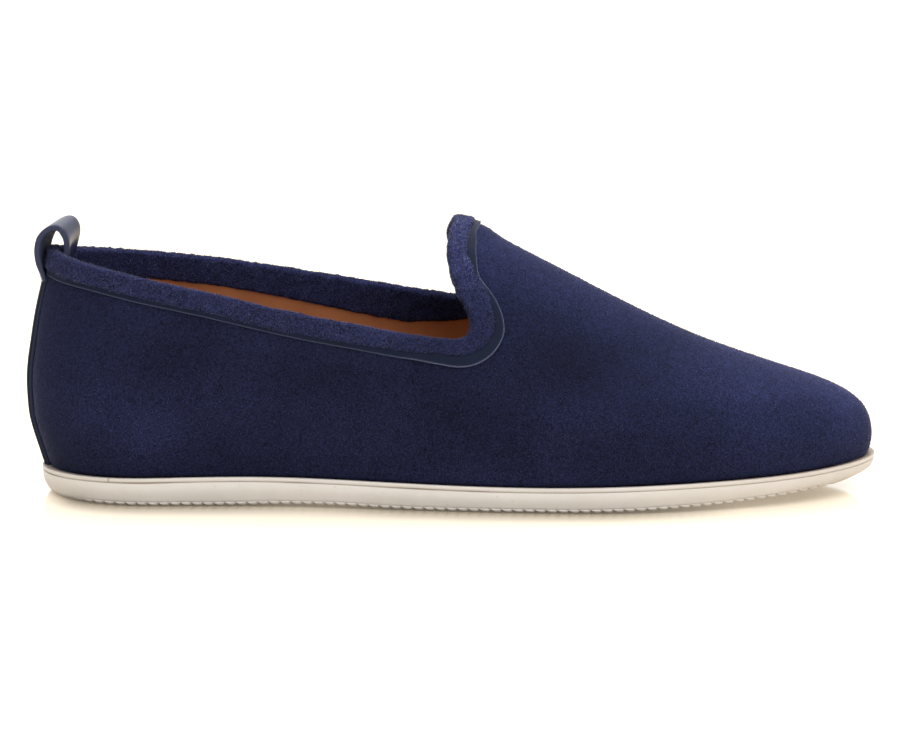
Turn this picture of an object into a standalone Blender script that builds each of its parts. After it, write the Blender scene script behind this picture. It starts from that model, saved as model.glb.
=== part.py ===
"""Suede slipper for the right foot, standing empty on its sole.

Frame: metres, +X to the toe, +Y to the inner side of the foot, +Z up, floor at z = 0.
The upper is a stack of plan outlines of the last, one at each height, joined by smooth
curves. A point on it has an angle theta (0 at the heel, pi at the toe, below pi on the
outer side of the foot) and a height z.
"""
import math

import bmesh
import bpy
import numpy as np

MM = 0.001

# Driving sizes
GAP = 0.3 * MM
WALL = 2.0 * MM
ROUND_STEPS = 84
FINE_STEPS = 400
TURN_SHARE = 0.9
WALL_ROWS = 11
WALL_ROW_CROWDING = 1.6

# Sole: toe spring, arch and the layers above the floor
TOE_SPRING = 5.2 * MM
SPRING_START = 38 * MM
SPRING_END = 143 * MM
SPRING_POWER = 1.6
ARCH_RISE = 0.8 * MM
ARCH_START = -84 * MM
ARCH_END = -8 * MM
WELT_THICKNESS = 1.6 * MM
INSOLE_ABOVE_WELT = 2.0 * MM
RIB_PITCH = 3.7 * MM
RIB_GROOVE_WIDTH = 1.1 * MM
RIB_GROOVE_FLOOR = 0.5
RIB_GROOVE_DEPTH = 1.6 * MM
FIRST_GROOVE = -131 * MM
LAST_GROOVE = 134 * MM

# Collar binding, piping, heel strip and pull loop
BINDING_THICKNESS = 1.3 * MM
BINDING_EDGE = 0.7 * MM
BINDING_DROP = 0.2 * MM
ROLL_OUTER = 0.4
ROLL_INNER = 0.1
ROLL_LEG = 0.8
PIPING_TUCK = 0.3 * MM
PIPING_THICKNESS = 0.8 * MM
STRIP_HALF_WIDTH = 6.0 * MM
STRIP_THICKNESS = 1.6 * MM
STRIP_TOP = 71.2 * MM
STRIP_TIP_THICKNESS = 0.8 * MM
STRIP_TAPER = 25 * MM
STRIP_CROWN = 0.3
STRIP_ROWS = 10
LOOP_WIDTH = 14.0 * MM
LOOP_THICKNESS = 1.6 * MM
LOOP_TIP_THICKNESS = 1.0 * MM
LOOP_TIP = 6 * MM
LOOP_SKEW = math.radians(9)
LOOP_TILT = math.radians(5)
LOOP_BOW = 1.3 * MM
LOOP_ROWS = 24

# Centre line of the last in plan: the heel, and how far the toe swings inward
HEEL_CENTRE = -1.6 * MM
TOE_SWING = 7.5 * MM
SWING_START = 15 * MM
SWING_END = 144 * MM
HEEL_ROUND = 38 * MM

# Side view of the last in millimetres: how far back and forward it reaches at each height,
# and the length over which the outer and the inner side close to the front
PROFILE_COLUMNS = ("height", "back", "front", "nose_outer", "nose_inner")
PROFILE = (
    (4, -135.9, 139.6, 95, 82),
    (10, -137.7, 142.5, 95, 82),
    (17, -139.9, 144.4, 96, 83),
    (23, -141.7, 143.8, 100, 88),
    (28, -142.7, 141.4, 107, 98),
    (32, -143.0, 137.0, 114, 106),
    (36, -143.2, 129.4, 120, 114),
    (41, -143.1, 115.6, 126, 122),
    (50, -142.1, 90.2, 130, 128),
    (60, -140.8, 67.6, 126, 126),
    (70, -138.9, 48.0, 114, 116),
    (80, -136.7, 28.9, 104, 106),
    (88, -134.9, 14.9, 100, 102),
    (91.4, -134.1, 8.6, 145, 145),
    (93.6, -133.5, -0.9, 215, 215),
)

# Half widths in millimetres, from the centre line, at five stations along the foot
STATION_X = (-105, -60, -15, 45, 100)
WIDTH_COLUMNS = ("height", "heel", "waist", "instep", "ball", "toe")
OUTER_WIDTHS = (
    (4, 31.5, 31.8, 38.8, 45.6, 46.0),
    (10, 33.2, 33.6, 40.4, 47.0, 47.0),
    (20, 35.0, 35.6, 42.0, 48.6, 48.4),
    (35, 35.2, 36.6, 42.2, 47.8, 48.0),
    (50, 33.2, 36.6, 41.6, 46.2, 47.0),
    (65, 30.2, 35.4, 40.0, 44.0, 45.0),
    (80, 27.4, 33.0, 37.6, 41.0, 42.0),
    (95, 24.8, 30.2, 34.4, 38.0, 39.0),
)
INNER_WIDTHS = (
    (4, 31.5, 28.4, 31.6, 45.6, 46.0),
    (10, 33.2, 30.4, 33.6, 47.2, 47.4),
    (20, 35.0, 33.0, 36.8, 48.8, 48.8),
    (35, 35.2, 35.0, 39.8, 47.8, 48.4),
    (50, 33.2, 35.6, 40.6, 46.2, 47.0),
    (65, 30.2, 34.8, 39.6, 44.0, 45.0),
    (80, 27.4, 32.8, 37.4, 41.0, 42.0),
    (95, 24.8, 30.2, 34.4, 38.0, 39.0),
)

# Edge of the upper in side view, heel to throat, how much higher the inner side is, and how
# far below the edge the binding and the piping reach
COLLAR_COLUMNS = ("x", "height", "inner_lift", "binding", "piping")
COLLAR = (
    (-136.2, 83.0, 0.0, 6.0, 7.6),
    (-121.0, 78.7, 0.8, 5.9, 7.3),
    (-100.0, 74.5, 2.4, 5.8, 7.1),
    (-79.0, 70.4, 4.0, 5.8, 7.1),
    (-58.0, 65.8, 5.0, 5.8, 7.1),
    (-33.0, 61.2, 5.4, 5.6, 7.1),
    (-14.0, 58.0, 5.4, 5.0, 7.4),
    (-2.0, 56.5, 5.2, 4.6, 8.0),
    (5.0, 57.2, 4.8, 5.6, 9.2),
    (7.4, 61.0, 4.2, 6.8, 10.2),
    (6.6, 66.0, 3.4, 7.3, 9.6),
    (3.6, 71.5, 2.6, 8.2, 8.7),
    (1.1, 77.5, 1.8, 7.2, 8.1),
    (0.1, 83.0, 1.0, 5.7, 8.7),
    (0.2, 88.0, 0.5, 5.3, 8.3),
    (1.1, 91.2, 0.1, 5.2, 7.5),
    (2.3, 92.9, 0.0, 5.1, 7.1),
)

# Feather line, where the upper meets the welt: height above the floor along the sole
FEATHER_COLUMNS = ("x", "height")
FEATHER = (
    (-140, 9.1),
    (-100, 9.6),
    (-65, 10.1),
    (-20, 9.3),
    (30, 8.6),
    (60, 9.1),
    (90, 9.8),
    (120, 10.5),
    (146, 11.9),
)

# Sides of the sole's layers: share of the height, and how far each stands out from the feather line
SIDE_COLUMNS = ("level", "side", "heel", "toe")
SOLE_SIDE = (
    (0.00, -0.6, -1.2, -3.8),
    (0.08, 0.2, -0.2, -2.8),
    (0.32, 1.3, 1.4, 0.2),
    (0.70, 2.0, 2.5, 1.9),
    (1.00, 2.0, 2.6, 2.3),
)
WELT_SIDE = ((0.0, 2.0, 2.6, 2.3), (0.5, 2.3, 2.9, 2.6), (1.0, 1.9, 2.5, 2.2))
WELT_BACK = ((1.0, -2.3, -2.3, -2.3), (0.0, -2.3, -2.3, -2.3))
INSOLE_SIDE = ((0.0, -2.8, -2.8, -2.8), (0.8, -2.8, -2.8, -2.8), (1.0, -3.8, -3.8, -3.8))

# Pull loop in the plane of the heel: distance out from the upper, height, and how far it is
# turned from lying round the heel (0) to its free skew (1)
LOOP_COLUMNS = ("out", "height", "free")
LOOP = (
    (0.9, 72.4, 0.0),
    (1.9, 75.0, 0.1),
    (3.0, 78.5, 0.4),
    (3.7, 83.0, 0.7),
    (3.0, 88.0, 1.0),
    (0.6, 91.4, 1.0),
    (-2.8, 92.0, 1.0),
    (-5.6, 89.2, 0.9),
    (-6.5, 84.4, 0.4),
    (-5.9, 79.0, 0.1),
    (-5.5, 73.5, 0.0),
    (-5.4, 67.5, 0.0),
)

# Looks: colour, roughness
SUEDE = ((0.014, 0.017, 0.042), 0.95)
BAND_SUEDE = ((0.020, 0.023, 0.058), 0.95)
SLATE_LEATHER = ((0.030, 0.034, 0.055), 0.45)
TAN_LEATHER = ((0.36, 0.17, 0.075), 0.60)
CREAM_RUBBER = ((0.74, 0.69, 0.60), 0.55)


def columns(names, rows):
    """Named columns of a table as arrays."""
    return dict(zip(names, np.array(rows, float).T))


def spline(knots, values, at):
    """Natural cubic curve through values at knots, read at the given places."""
    knots = np.asarray(knots, float)
    values = np.asarray(values, float)
    step = np.diff(knots)
    slope = np.diff(values) / step
    system = np.eye(len(knots))
    right = np.zeros(len(knots))
    for i in range(1, len(knots) - 1):
        system[i, i - 1 : i + 2] = step[i - 1], 2 * (step[i - 1] + step[i]), step[i]
        right[i] = 6 * (slope[i] - slope[i - 1])
    bend = np.linalg.solve(system, right)
    i = np.clip(np.searchsorted(knots, at) - 1, 0, len(step) - 1)
    t = at - knots[i]
    first = slope[i] - step[i] * (2 * bend[i] + bend[i + 1]) / 6
    return values[i] + t * (first + t * (bend[i] / 2 + t * (bend[i + 1] - bend[i]) / (6 * step[i])))


def ramp(x, start, end):
    """0 before start, 1 after end, straight between."""
    return np.clip((x - start) / (end - start), 0, 1)


def rounding(t):
    """Quarter ellipse from 0 to 1 that closes an outline at its end."""
    return np.sqrt(np.clip(1 - (1 - np.clip(t, 0, 1)) ** 2, 0, 1))


profile = columns(PROFILE_COLUMNS, PROFILE)
collar = columns(COLLAR_COLUMNS, COLLAR)
feather = columns(FEATHER_COLUMNS, FEATHER)
loop = columns(LOOP_COLUMNS, LOOP)


def side_view(name, z):
    """One column of the side view, in metres, at height z."""
    return spline(profile["height"], profile[name], z / MM) * MM


def half_width(table, x, z):
    """Half width: each station's column is read at z, and a curve through the stations is read at x."""
    widths = columns(WIDTH_COLUMNS, table)
    total = 0
    for i, station in enumerate(WIDTH_COLUMNS[1:]):
        share = spline(STATION_X, np.eye(len(STATION_X))[i], x / MM)
        total = total + share * spline(widths["height"], widths[station], z / MM)
    return total * MM


def centre_line(x):
    return HEEL_CENTRE + TOE_SWING * ramp(x, SWING_START, SWING_END) ** 2


def last(theta, z, side=0.0, heel=None, toe=None):
    """Point of the last at theta and z, moved out by a margin at the sides, heel and toe."""
    heel = side if heel is None else heel
    toe = side if toe is None else toe
    theta = np.mod(theta, 2 * math.pi)
    back = side_view("back", z) - heel
    front = side_view("front", z) + toe
    x = back + (front - back) * (1 - np.cos(theta)) / 2
    outer = theta <= math.pi
    nose = np.where(outer, side_view("nose_outer", z), side_view("nose_inner", z)) + toe
    width = np.where(outer, half_width(OUTER_WIDTHS, x, z), half_width(INNER_WIDTHS, x, z)) + side
    width = width * rounding((front - x) / nose) * rounding((x - back) / (HEEL_ROUND + heel))
    return np.stack([x, centre_line(x) - np.where(outer, 1, -1) * width, z + 0 * x], axis=-1)


def angle_at(x, z):
    """Angle on the last of a place in side view, from 0 at the heel to pi at the front."""
    back = side_view("back", z)
    front = side_view("front", z)
    return np.arccos(np.clip(1 - 2 * (x - back) / (front - back), -1, 1))


def slopes(theta, z):
    """How the point of the last moves with theta and with z."""
    turn = 1e-3
    rise = 0.05 * MM
    along = (last(theta + turn, z) - last(theta - turn, z)) / (2 * turn)
    up = (last(theta, z + rise) - last(theta, z - rise)) / (2 * rise)
    return along, up


def unit(v):
    return v / np.linalg.norm(v, axis=-1, keepdims=True)


def outward(theta, z):
    along, up = slopes(theta, z)
    return unit(np.cross(along, up))


def walk(theta, z, direction, distance, steps=8):
    """Walks a distance over the last, straight ahead from theta and z, and gives the new theta and z."""
    for _ in range(steps):
        along, up = slopes(theta, z)
        a = np.sum(along * along, axis=-1)
        b = np.sum(along * up, axis=-1)
        c = np.sum(up * up, axis=-1)
        p = np.sum(along * direction, axis=-1)
        q = np.sum(up * direction, axis=-1)
        turn = (c * p - b * q) / (a * c - b * b)
        rise = (a * q - b * p) / (a * c - b * b)
        direction = unit(along * turn[..., None] + up * rise[..., None])
        theta = theta + turn * distance / steps
        z = z + rise * distance / steps
    return theta, z


def lengths(points):
    """Distance along a row of points, from its start."""
    return np.concatenate([[0], np.cumsum(np.linalg.norm(np.diff(points, axis=0), axis=-1))])


def feather_height(theta):
    """Height of the feather line at theta, found by reading it again at the point it gives."""
    z = np.full_like(theta, feather["height"].mean() * MM)
    for _ in range(4):
        z = spline(feather["x"], feather["height"], last(theta, z)[..., 0] / MM) * MM
    return z


def collar_half(lift):
    """Theta, height, binding and piping along half of the collar.

    Places are spaced evenly by three measures together: along the collar, along the feather
    line below it, and by how much the collar turns.
    """
    height = (collar["height"] + lift * collar["inner_lift"]) * MM
    theta = angle_at(collar["x"] * MM, height)
    theta[0] = 0
    theta[-1] = math.pi
    row = lengths(last(theta, height))
    fine = np.linspace(0, row[-1], FINE_STEPS)
    theta_fine = spline(row, theta, fine)
    height_fine = spline(row, height, fine)
    edge = last(theta_fine, height_fine)
    low = lengths(last(theta_fine, feather_height(theta_fine)))
    turn = lengths(unit(np.gradient(edge, axis=0)))
    place = low / low[-1] + lengths(edge) / lengths(edge)[-1] + TURN_SHARE * turn / turn[-1]
    even = np.linspace(0, place[-1], ROUND_STEPS // 2 + 1)
    at = np.interp(even, place, fine)
    reach = [np.interp(at, row, collar[name] * MM) for name in ("binding", "piping")]
    return np.array([spline(row, theta, at), spline(row, height, at), *reach])


def collar_ring():
    """Theta, height, binding and piping round the collar: heel, outer side, throat, inner side."""
    outer = collar_half(0)
    inner = collar_half(1)
    inner[0] = 2 * math.pi - inner[0]
    return np.concatenate([outer, inner[:, -2:0:-1]], axis=1)


def material(name, look):
    colour, roughness = look
    made = bpy.data.materials.new(name)
    made.use_nodes = True
    shader = made.node_tree.nodes["Principled BSDF"]
    shader.inputs["Base Color"].default_value = (*colour, 1)
    shader.inputs["Roughness"].default_value = roughness
    shader.inputs["Metallic"].default_value = 0
    made.diffuse_color = (*colour, 1)
    return made


def collection(name):
    made = bpy.data.collections.new(name)
    bpy.context.scene.collection.children.link(made)
    return made


def mesh_object(name, points, faces, group, finish=None):
    """Object from points and faces, with its faces turned the same way and shaded smooth."""
    mesh = bpy.data.meshes.new(name)
    mesh.from_pydata(np.asarray(points, float).reshape(-1, 3).tolist(), [], faces)
    shape = bmesh.new()
    shape.from_mesh(mesh)
    bmesh.ops.recalc_face_normals(shape, faces=shape.faces)
    shape.to_mesh(mesh)
    shape.free()
    mesh.shade_smooth()
    mesh.set_sharp_from_angle(angle=math.radians(40))
    made = bpy.data.objects.new(name, mesh)
    group.objects.link(made)
    if finish:
        mesh.materials.append(finish)
    return made


def grid_faces(rows, across, ring=True, tube=False):
    """Quads of a grid of points. ring joins the last of the rows to the first, tube does so across."""
    faces = []
    for i in range(rows if ring else rows - 1):
        for j in range(across if tube else across - 1):
            k = (i + 1) % rows
            m = (j + 1) % across
            faces.append((i * across + j, k * across + j, k * across + m, i * across + m))
    return faces


def end_caps(rows, across):
    """The two end faces of an open row of sections."""
    return [tuple(range(across)), tuple((rows - 1) * across + j for j in range(across))]


def bridge_faces(ring_size, first):
    """Quads across a closed outline whose points pair up, outer side to inner side, at equal x."""
    half = ring_size // 2
    faces = [(first, first + 1, first + ring_size - 1), (first + half, first + half + 1, first + half - 1)]
    for i in range(1, half - 1):
        faces.append((first + i, first + i + 1, first + ring_size - i - 1, first + ring_size - i))
    return faces


def sole_bottom(x):
    """Height of the tread: flat under heel and ball, a low arch between, and the toe spring."""
    arch = ARCH_RISE * np.sin(math.pi * ramp(x, ARCH_START, ARCH_END)) ** 2
    return arch + TOE_SPRING * ramp(x, SPRING_START, SPRING_END) ** SPRING_POWER


def sole_outline(theta, side, heel, toe):
    """Feather line moved out by margins, as x and y."""
    return last(theta, feather_height(theta), side * MM, heel * MM, toe * MM)[..., :2]


def feather_top(x):
    return spline(feather["x"], feather["height"], x / MM) * MM


def stacked(theta, table, bottom, top):
    """Rings of a layer of the sole, one for each row of its side table."""
    rings = []
    for row in table:
        at = dict(zip(SIDE_COLUMNS, row))
        flat = sole_outline(theta, at["side"], at["heel"], at["toe"])
        low = bottom(flat[:, 0])
        rings.append(np.column_stack([flat, low + at["level"] * (top(flat[:, 0]) - low)]))
    return np.array(rings)


def closed_layer(name, rings, group, finish):
    """Solid between stacked rings, closed across its bottom and top."""
    count, size, _ = rings.shape
    faces = grid_faces(count, size, ring=False, tube=True)
    faces += bridge_faces(size, 0) + bridge_faces(size, (count - 1) * size)
    return mesh_object(name, rings, faces, group, finish)


def even_angles():
    """Angles round the sole whose points pair up at equal x on the two sides."""
    theta = collar_half(0)[0]
    return np.concatenate([theta, 2 * math.pi - theta[-2:0:-1]])


def outsole_top(x):
    return feather_top(x) - WELT_THICKNESS - 2 * GAP


def welt_bottom(x):
    return outsole_top(x) + GAP


def welt_top(x):
    return feather_top(x) - GAP


def insole_top(x):
    return feather_top(x) + INSOLE_ABOVE_WELT


def groove_cutter(group):
    """Row of wedges across the tread, each square to the tread where it cuts and narrower at its floor."""
    reach = 80 * MM
    below = 2 * MM
    x = np.arange(FIRST_GROOVE, LAST_GROOVE, RIB_PITCH)[:, None, None]
    tilt = np.arctan2(sole_bottom(x + MM) - sole_bottom(x - MM), 2 * MM)
    deep = np.array([-below, -below, RIB_GROOVE_DEPTH, RIB_GROOVE_DEPTH])
    aside = np.array([-1, 1, 1, -1]) * RIB_GROOVE_WIDTH / 2
    aside = aside * (1 - (1 - RIB_GROOVE_FLOOR) * deep / RIB_GROOVE_DEPTH)
    ends = np.array([-reach, reach])[:, None]
    along = x + aside * np.cos(tilt) - deep * np.sin(tilt)
    height = sole_bottom(x) + aside * np.sin(tilt) + deep * np.cos(tilt)
    points = np.stack(np.broadcast_arrays(along, ends, height), axis=-1)
    wedge = np.array(grid_faces(2, 4, ring=False, tube=True) + end_caps(2, 4))
    faces = (wedge + 8 * np.arange(len(x))[:, None, None]).reshape(-1, 4).tolist()
    cutter = mesh_object("rib_grooves", points, faces, group)
    cutter.hide_render = True
    cutter.display_type = "WIRE"
    return cutter


def make_outsole(parts, cutters):
    """Rubber outsole: stacked outlines, with cross grooves cut into the tread."""
    rings = stacked(even_angles(), SOLE_SIDE, sole_bottom, outsole_top)
    outsole = closed_layer("outsole", rings, parts, material("cream_rubber", CREAM_RUBBER))
    cut = outsole.modifiers.new("ribs", "BOOLEAN")
    cut.operation = "DIFFERENCE"
    cut.object = groove_cutter(cutters)
    return outsole


def make_welt(parts):
    """Rubber strip on the rim of the outsole, a ring with a rounded outer side."""
    section = stacked(even_angles(), WELT_SIDE + WELT_BACK, welt_bottom, welt_top).transpose(1, 0, 2)
    faces = grid_faces(*section.shape[:2], ring=True, tube=True)
    return mesh_object("welt", section, faces, parts, material("cream_strip", CREAM_RUBBER))


def make_insole(parts):
    """Leather insole on its board, lying on the outsole inside the welt and the upper."""
    rings = stacked(even_angles(), INSOLE_SIDE, welt_bottom, insole_top)
    return closed_layer("insole", rings, parts, material("tan_leather", TAN_LEATHER))


def band_rows(ring):
    """Rows of theta and z below the collar's edge, and the way out there, for what is sewn on it."""
    theta, height, binding, piping = ring
    edge = last(theta, height)
    along = unit(np.roll(edge, -1, axis=0) - np.roll(edge, 1, axis=0))
    down = unit(np.cross(along, outward(theta, height)))
    rows = {"edge": (theta, height)}
    rows["middle"] = walk(theta, height, down, binding / 2)
    rows["binding"] = walk(theta, height, down, binding)
    rows["tuck"] = walk(theta, height, down, binding + PIPING_TUCK)
    rows["piping"] = walk(theta, height, down, piping)
    return rows, down


def lifted(place, distance):
    """Points at a distance out from the last, at the given theta and z."""
    return last(*place) + outward(*place) * distance


def make_upper(parts, ring, rows):
    """Suede upper: the open surface from the feather line to the collar, with its wall inside it."""
    theta = ring[0]
    low_theta, low_z = rows["piping"]
    share = 1 - np.linspace(1, 0, WALL_ROWS)[:, None] ** WALL_ROW_CROWDING
    wall_theta = low_theta + share * (theta - low_theta)
    wall_z = low_z + share * (feather_height(theta) - low_z)
    points = [last(*rows["edge"]), last(*rows["binding"]), *last(wall_theta, wall_z)]
    points = np.array(points).transpose(1, 0, 2)
    faces = grid_faces(*points.shape[:2], ring=True)
    upper = mesh_object("upper", points, faces, parts, material("navy_suede", SUEDE))
    wall = upper.modifiers.new("wall", "SOLIDIFY")
    wall.thickness = WALL
    wall.offset = -1
    return upper


def make_binding(parts, rows, down):
    """Rolled suede band: an outer and an inner leg that meet over the edge of the upper."""
    inner = -(WALL + GAP)
    roll = BINDING_THICKNESS
    edge = rows["edge"]
    section = [
        lifted(rows["binding"], GAP),
        lifted(rows["binding"], GAP + BINDING_EDGE),
        lifted(rows["middle"], GAP + roll),
        lifted(edge, GAP + roll) - down * BINDING_DROP,
        lifted(edge, ROLL_OUTER * roll) - down * (GAP + roll),
        lifted(edge, inner - ROLL_INNER * roll) - down * (GAP + roll),
        lifted(edge, inner - ROLL_LEG * roll) - down * BINDING_DROP,
        lifted(rows["binding"], inner - BINDING_EDGE),
        lifted(rows["binding"], inner),
        lifted(edge, inner) - down * GAP,
        lifted(edge, GAP) - down * GAP,
    ]
    points = np.array(section).transpose(1, 0, 2)
    faces = grid_faces(*points.shape[:2], ring=True, tube=True)
    return mesh_object("collar_binding", points, faces, parts, material("band_suede", BAND_SUEDE))


def make_piping(parts, rows):
    """Thin leather edge below the binding, from one side of the pull loop round to the other."""
    section = [
        lifted(rows["tuck"], GAP),
        lifted(rows["tuck"], GAP + PIPING_THICKNESS),
        lifted(rows["piping"], GAP + PIPING_THICKNESS),
        lifted(rows["piping"], GAP),
    ]
    points = np.array(section).transpose(1, 0, 2)
    beside_loop = np.abs(points[:, 2, 1] - HEEL_CENTRE) > LOOP_WIDTH / 2 + MM
    points = points[beside_loop | (points[:, 2, 0] > 0)]
    faces = grid_faces(*points.shape[:2], ring=False, tube=True) + end_caps(*points.shape[:2])
    return mesh_object("collar_piping", points, faces, parts, material("slate_piping", SLATE_LEATHER))


def make_heel_strip(parts):
    """Leather strip over the back seam, from the welt to the foot of the pull loop."""
    z = np.linspace(feather_height(np.zeros(1))[0] + GAP, STRIP_TOP, STRIP_ROWS)[:, None]
    across = np.linspace(-1, 1, 5)
    turn = STRIP_HALF_WIDTH / np.linalg.norm(slopes(0 * z, z)[0], axis=-1)
    place = (across * turn, z + 0 * across)
    thickness = np.interp(z, (STRIP_TOP - STRIP_TAPER, STRIP_TOP), (STRIP_THICKNESS, STRIP_TIP_THICKNESS))
    crown = GAP + thickness * (1 - STRIP_CROWN * across ** 4)
    points = np.concatenate([lifted(place, GAP), lifted(place, crown[..., None])[:, ::-1]], axis=1)
    faces = grid_faces(*points.shape[:2], ring=False, tube=True) + end_caps(*points.shape[:2])
    return mesh_object("heel_strip", points, faces, parts, material("slate_strip", SLATE_LEATHER))


def make_pull_loop(parts):
    """Leather strap over the collar at the heel, lying round the heel at both ends and skewed at the top."""
    x = side_view("back", loop["height"] * MM) - loop["out"] * MM
    path = np.column_stack([x, loop["height"] * MM])
    row = lengths(path)
    at = np.linspace(0, row[-1], LOOP_ROWS)
    path = np.column_stack([spline(row, path[:, 0], at), spline(row, path[:, 1], at)])
    free = np.interp(at, row, loop["free"])[:, None]
    ahead = unit(np.gradient(path, axis=0))
    across = np.linspace(-1, 1, 5)
    skew = LOOP_SKEW * free
    width = np.stack([np.sin(skew), np.cos(skew), np.sin(LOOP_TILT * free)], axis=-1)
    middle = np.stack([path[:, 0], np.full(LOOP_ROWS, HEEL_CENTRE), path[:, 1]], axis=-1)[:, None]
    strap = middle + width * (across * LOOP_WIDTH / 2)[:, None]
    strap[..., 0] += LOOP_BOW * (1 - free) * across ** 2
    half = np.interp(at, (0, LOOP_TIP), (LOOP_TIP_THICKNESS / 2, LOOP_THICKNESS / 2))[:, None]
    face = np.stack([-ahead[:, 1], np.zeros(LOOP_ROWS), ahead[:, 0]], axis=-1) * half
    points = np.concatenate([strap + face[:, None], (strap - face[:, None])[:, ::-1]], axis=1)
    faces = grid_faces(*points.shape[:2], ring=False, tube=True) + end_caps(*points.shape[:2])
    return mesh_object("pull_loop", points, faces, parts, material("slate_strap", SLATE_LEATHER))


def main():
    for old in list(bpy.data.objects):
        bpy.data.objects.remove(old, do_unlink=True)
    parts = collection("suede_slipper")
    cutters = collection("cutters")
    ring = collar_ring()
    rows, down = band_rows(ring)
    make_outsole(parts, cutters)
    make_welt(parts)
    make_insole(parts)
    make_upper(parts, ring, rows)
    make_binding(parts, rows, down)
    make_piping(parts, rows)
    make_heel_strip(parts)
    make_pull_loop(parts)


main()
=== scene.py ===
"""Looks of a suede slipper for the right foot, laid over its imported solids.

Frame: metres, +X to the toe, +Y to the inner side of the foot, +Z up, floor at z = 0.
Every piece of the upper is read from one last: a point on it has an angle theta (0 at the
heel, pi at the toe, below pi on the outer side of the foot) and a height z.
"""
import math

import bmesh
import bpy
import numpy as np
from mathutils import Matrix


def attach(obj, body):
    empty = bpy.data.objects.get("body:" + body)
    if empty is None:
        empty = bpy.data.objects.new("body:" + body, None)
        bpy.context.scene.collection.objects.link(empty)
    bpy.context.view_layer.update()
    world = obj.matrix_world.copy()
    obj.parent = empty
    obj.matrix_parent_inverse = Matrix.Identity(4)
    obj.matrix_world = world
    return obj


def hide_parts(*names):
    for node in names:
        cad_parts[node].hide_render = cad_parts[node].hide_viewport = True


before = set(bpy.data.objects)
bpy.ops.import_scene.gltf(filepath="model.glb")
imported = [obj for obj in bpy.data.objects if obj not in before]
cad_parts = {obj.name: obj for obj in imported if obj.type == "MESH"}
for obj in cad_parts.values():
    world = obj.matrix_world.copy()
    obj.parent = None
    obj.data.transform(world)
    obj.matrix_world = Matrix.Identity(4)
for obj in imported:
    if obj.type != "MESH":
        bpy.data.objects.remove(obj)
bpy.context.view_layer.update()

MM = 0.001
BODY = "root"

# Driving sizes, the solids' own but for the loop's, the welt's seam and the insole's rim
GAP = 0.3 * MM
WALL = 2.0 * MM
FINE_STEPS = 400
TURN_SHARE = 0.9
TOE_SPRING = 5.2 * MM
SPRING_START = 38 * MM
SPRING_END = 143 * MM
SPRING_POWER = 1.6
ARCH_RISE = 0.8 * MM
ARCH_START = -84 * MM
ARCH_END = -8 * MM
WELT_SEAM = 1.5 * MM
INSOLE_ABOVE_WELT = 2.0 * MM
INSOLE_MARGIN = (-1.7, -1.7, -1.7)
RIB_PITCH = 3.7 * MM
FIRST_GROOVE = -131 * MM
LAST_GROOVE = 134 * MM
BINDING_THICKNESS = 1.3 * MM
STRIP_HALF_WIDTH = 6.0 * MM
STRIP_THICKNESS = 1.6 * MM
STRIP_TOP = 71.2 * MM
STRIP_TIP_THICKNESS = 0.8 * MM
STRIP_TAPER = 25 * MM
LOOP_WIDTH = 14.0 * MM
LOOP_OUTER = 0.8 * MM
LOOP_INNER = 1.5 * MM
LOOP_TIP_SHARE = 0.6
LOOP_TIP = 6 * MM
LOOP_SKEW = math.radians(17)
LOOP_TILT = math.radians(8)
LOOP_BOW = 1.3 * MM
HEEL_CENTRE = -1.6 * MM
TOE_SWING = 7.5 * MM
SWING_START = 15 * MM
SWING_END = 144 * MM
HEEL_ROUND = 38 * MM

# Sizes of the looks alone: skins, tucks, laps, seams and teeth
SUEDE_THICKNESS = 1.1 * MM
FOOT_TUCK = 0.8 * MM
FOOT_TUCK_HEIGHT = 1.6 * MM
FOOT_SUNK = 0.35 * MM
LINING_DEPTH = 1.3 * MM
LINING_LAP = 1.5 * MM
FACING_THICKNESS = 0.85 * MM
NAP_SINK = 0.4 * MM
PIPING_LAP = 1.2 * MM
STRIP_LAP = 3 * MM
THROAT_START = -25 * MM
INSOLE_DISH = 0.8 * MM
INSOLE_RIM = 0.6 * MM
WELT_JOINT_X = -115 * MM
TOOTH_HEIGHT = 1.4 * MM
TOOTH_LEAN = 0.9 * MM
TOOTH_LIFT = 1.35 * MM

# How far out from the feather line at side, heel and toe, and how far a tooth's parts stand out or
# in from the sole's side, all in millimetres
WELT_MARGIN = (2.0, 2.6, 2.3)
WELT_BACK = (-2.3, -2.3, -2.3)
TOOTH_GROOVE = 0.22
TOOTH_BEAD = 1.0
TOOTH_BITE = 0.75

# Loose hairs of the nap and of the piping's raw edge
UPPER_HAIRS = {"count": 48000, "length": 0.6 * MM, "width": 0.15 * MM, "seed": 12}
BAND_HAIRS = {"count": 49000, "length": 0.7 * MM, "width": 0.14 * MM, "seed": 11}
EDGE_HAIRS = {"count": 2600, "length": 0.4 * MM, "width": 0.12 * MM, "seed": 13}

# Floor: just below the tread, how far from the sole it still mirrors it, and the dark rim where it rests,
# a painted contact shadow
FLOOR_Z = -0.05 * MM
FLOOR_EDGE = (0.0, 0.0, -2.0)
FLOOR_MIRROR = 42 * MM
FLOOR_GLOSS = 0.5
FLOOR_GLOW = 0.26
RIM_WIDTH = 22 * MM
RIM_GAP = 2 * MM
RIM_FADE = (-12 * MM, 3 * MM)
RIM_SHADE = 0.65

# How finely the pieces are drawn
UPPER_ROUND = 520
UPPER_ROWS = 120
INNER_ROWS = 30
LINING_ROWS = 50
BAND_ROUND = 900
LOOP_ROWS = 150
WELT_ROUND = 1200
SOLE_COLUMNS = 800
INSOLE_COLUMNS = 220

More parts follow.
